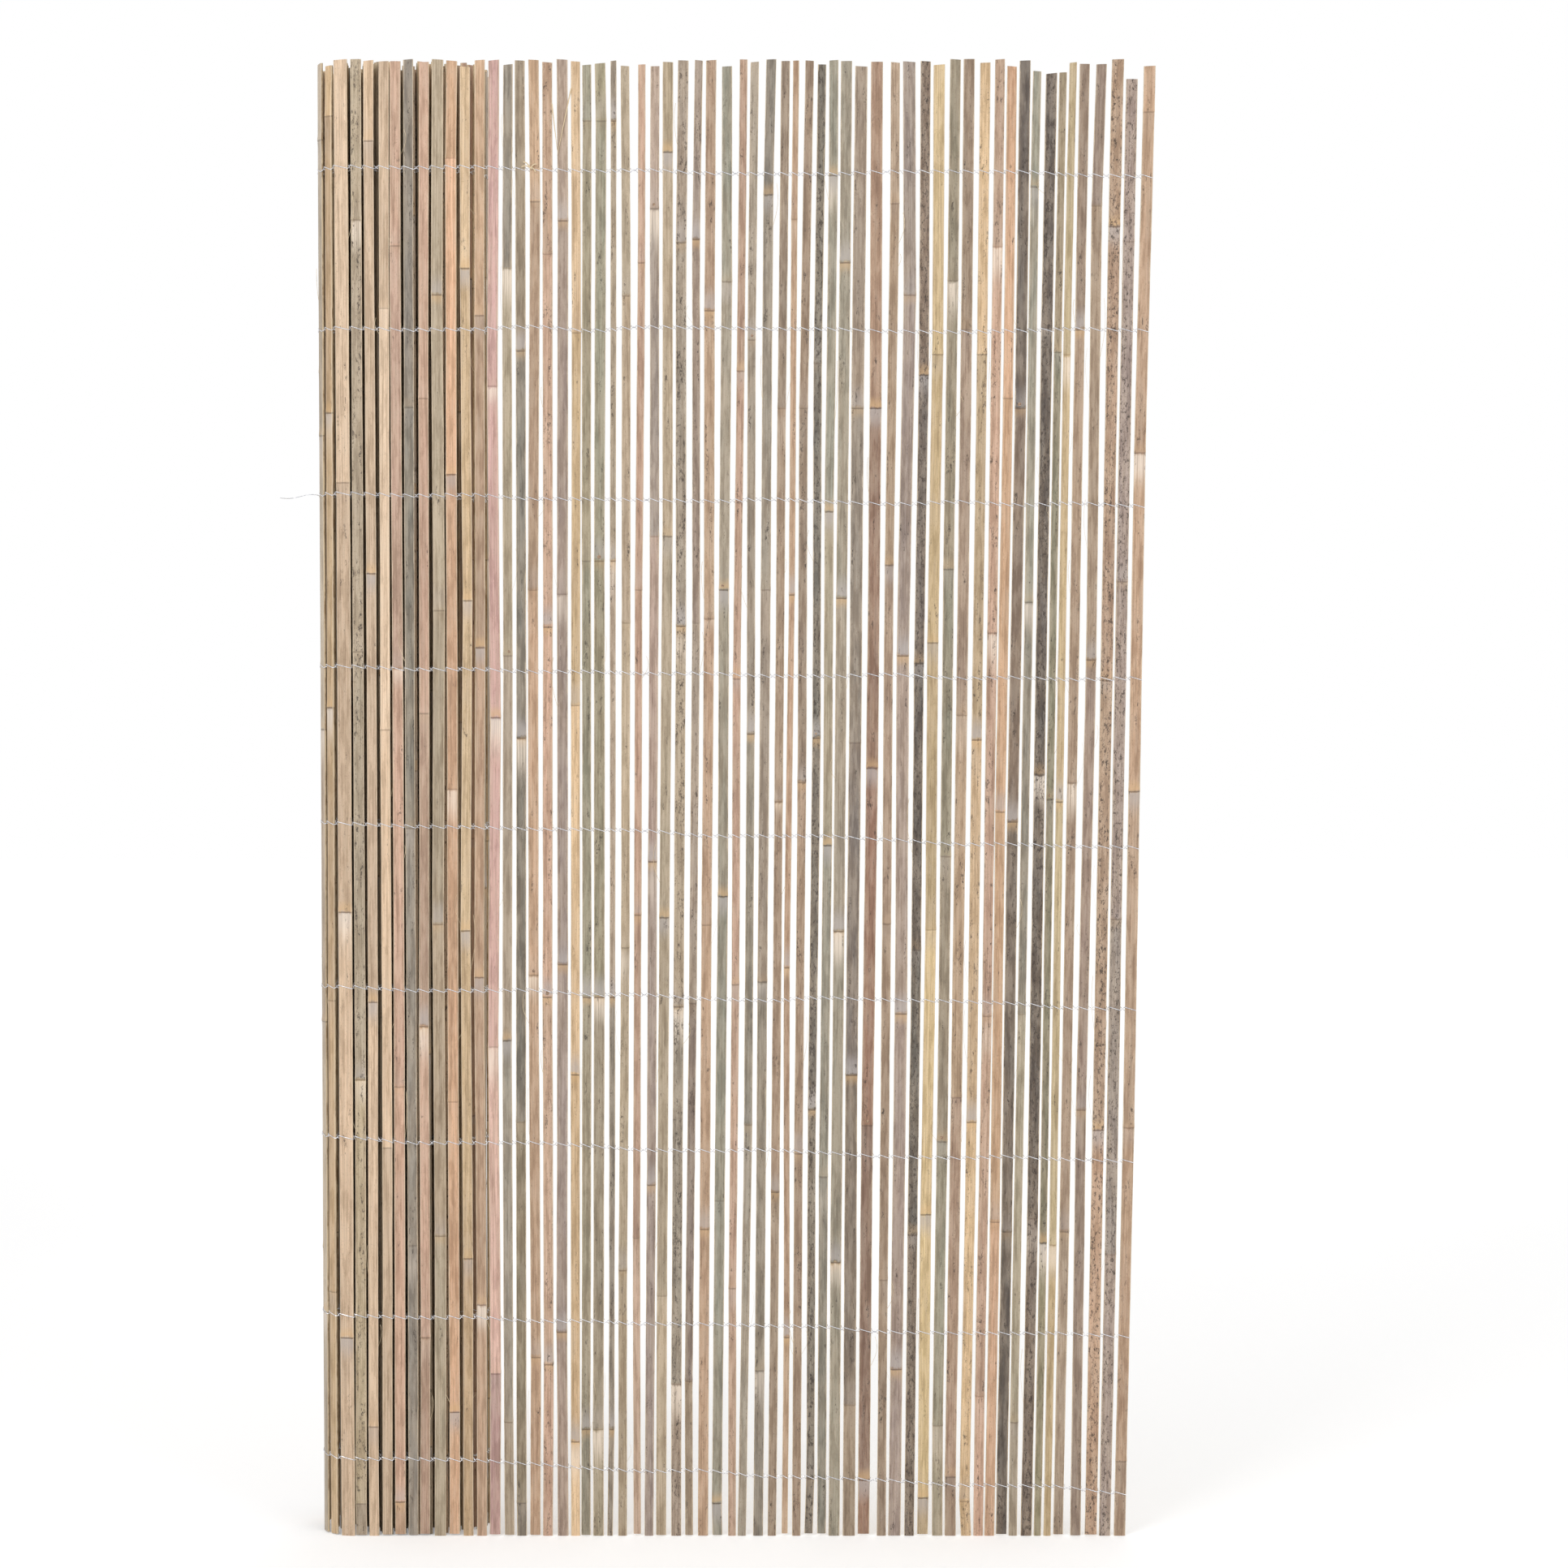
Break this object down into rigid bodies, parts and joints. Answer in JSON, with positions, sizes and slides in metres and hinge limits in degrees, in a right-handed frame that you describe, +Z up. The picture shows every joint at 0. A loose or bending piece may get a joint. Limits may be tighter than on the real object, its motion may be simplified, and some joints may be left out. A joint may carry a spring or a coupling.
{
  "type": "split bamboo screening roll",
  "caption": "Split bamboo fence screen standing on its slat ends, rolled up at one end and opened out at the other, its slats held by rows of twisted galvanised wire.",
  "frame": {"origin": "on the ground, under the middle of the whole screen's box", "axes": "+Z up along the slats, +X along the opened flap from the roll to the free end, -Y towards the skin side of the flap"},
  "size_m": [1.071, 0.1617, 1.8],
  "materials": {
    "bamboo": "split bamboo, dry, satin skin with darker nodes",
    "wire": "galvanised, dull silver"
  },
  "bodies": {
    "root": {"flap_slats_1": "bamboo", "flap_slats_2": "bamboo", "flap_slats_3": "bamboo", "flap_slats_4": "bamboo", "roll_turn_1": "bamboo", "roll_turn_2": "bamboo", "roll_turn_3": "bamboo", "roll_turn_4": "bamboo", "roll_turn_5": "bamboo", "roll_turn_6": "bamboo", "roll_turn_7": "bamboo", "wire_row_1": "wire", "wire_row_2": "wire", "wire_row_3": "wire", "wire_row_4": "wire", "wire_row_5": "wire", "wire_row_6": "wire", "wire_row_7": "wire", "wire_row_8": "wire", "wire_row_9": "wire"}
  },
  "joints": []
}
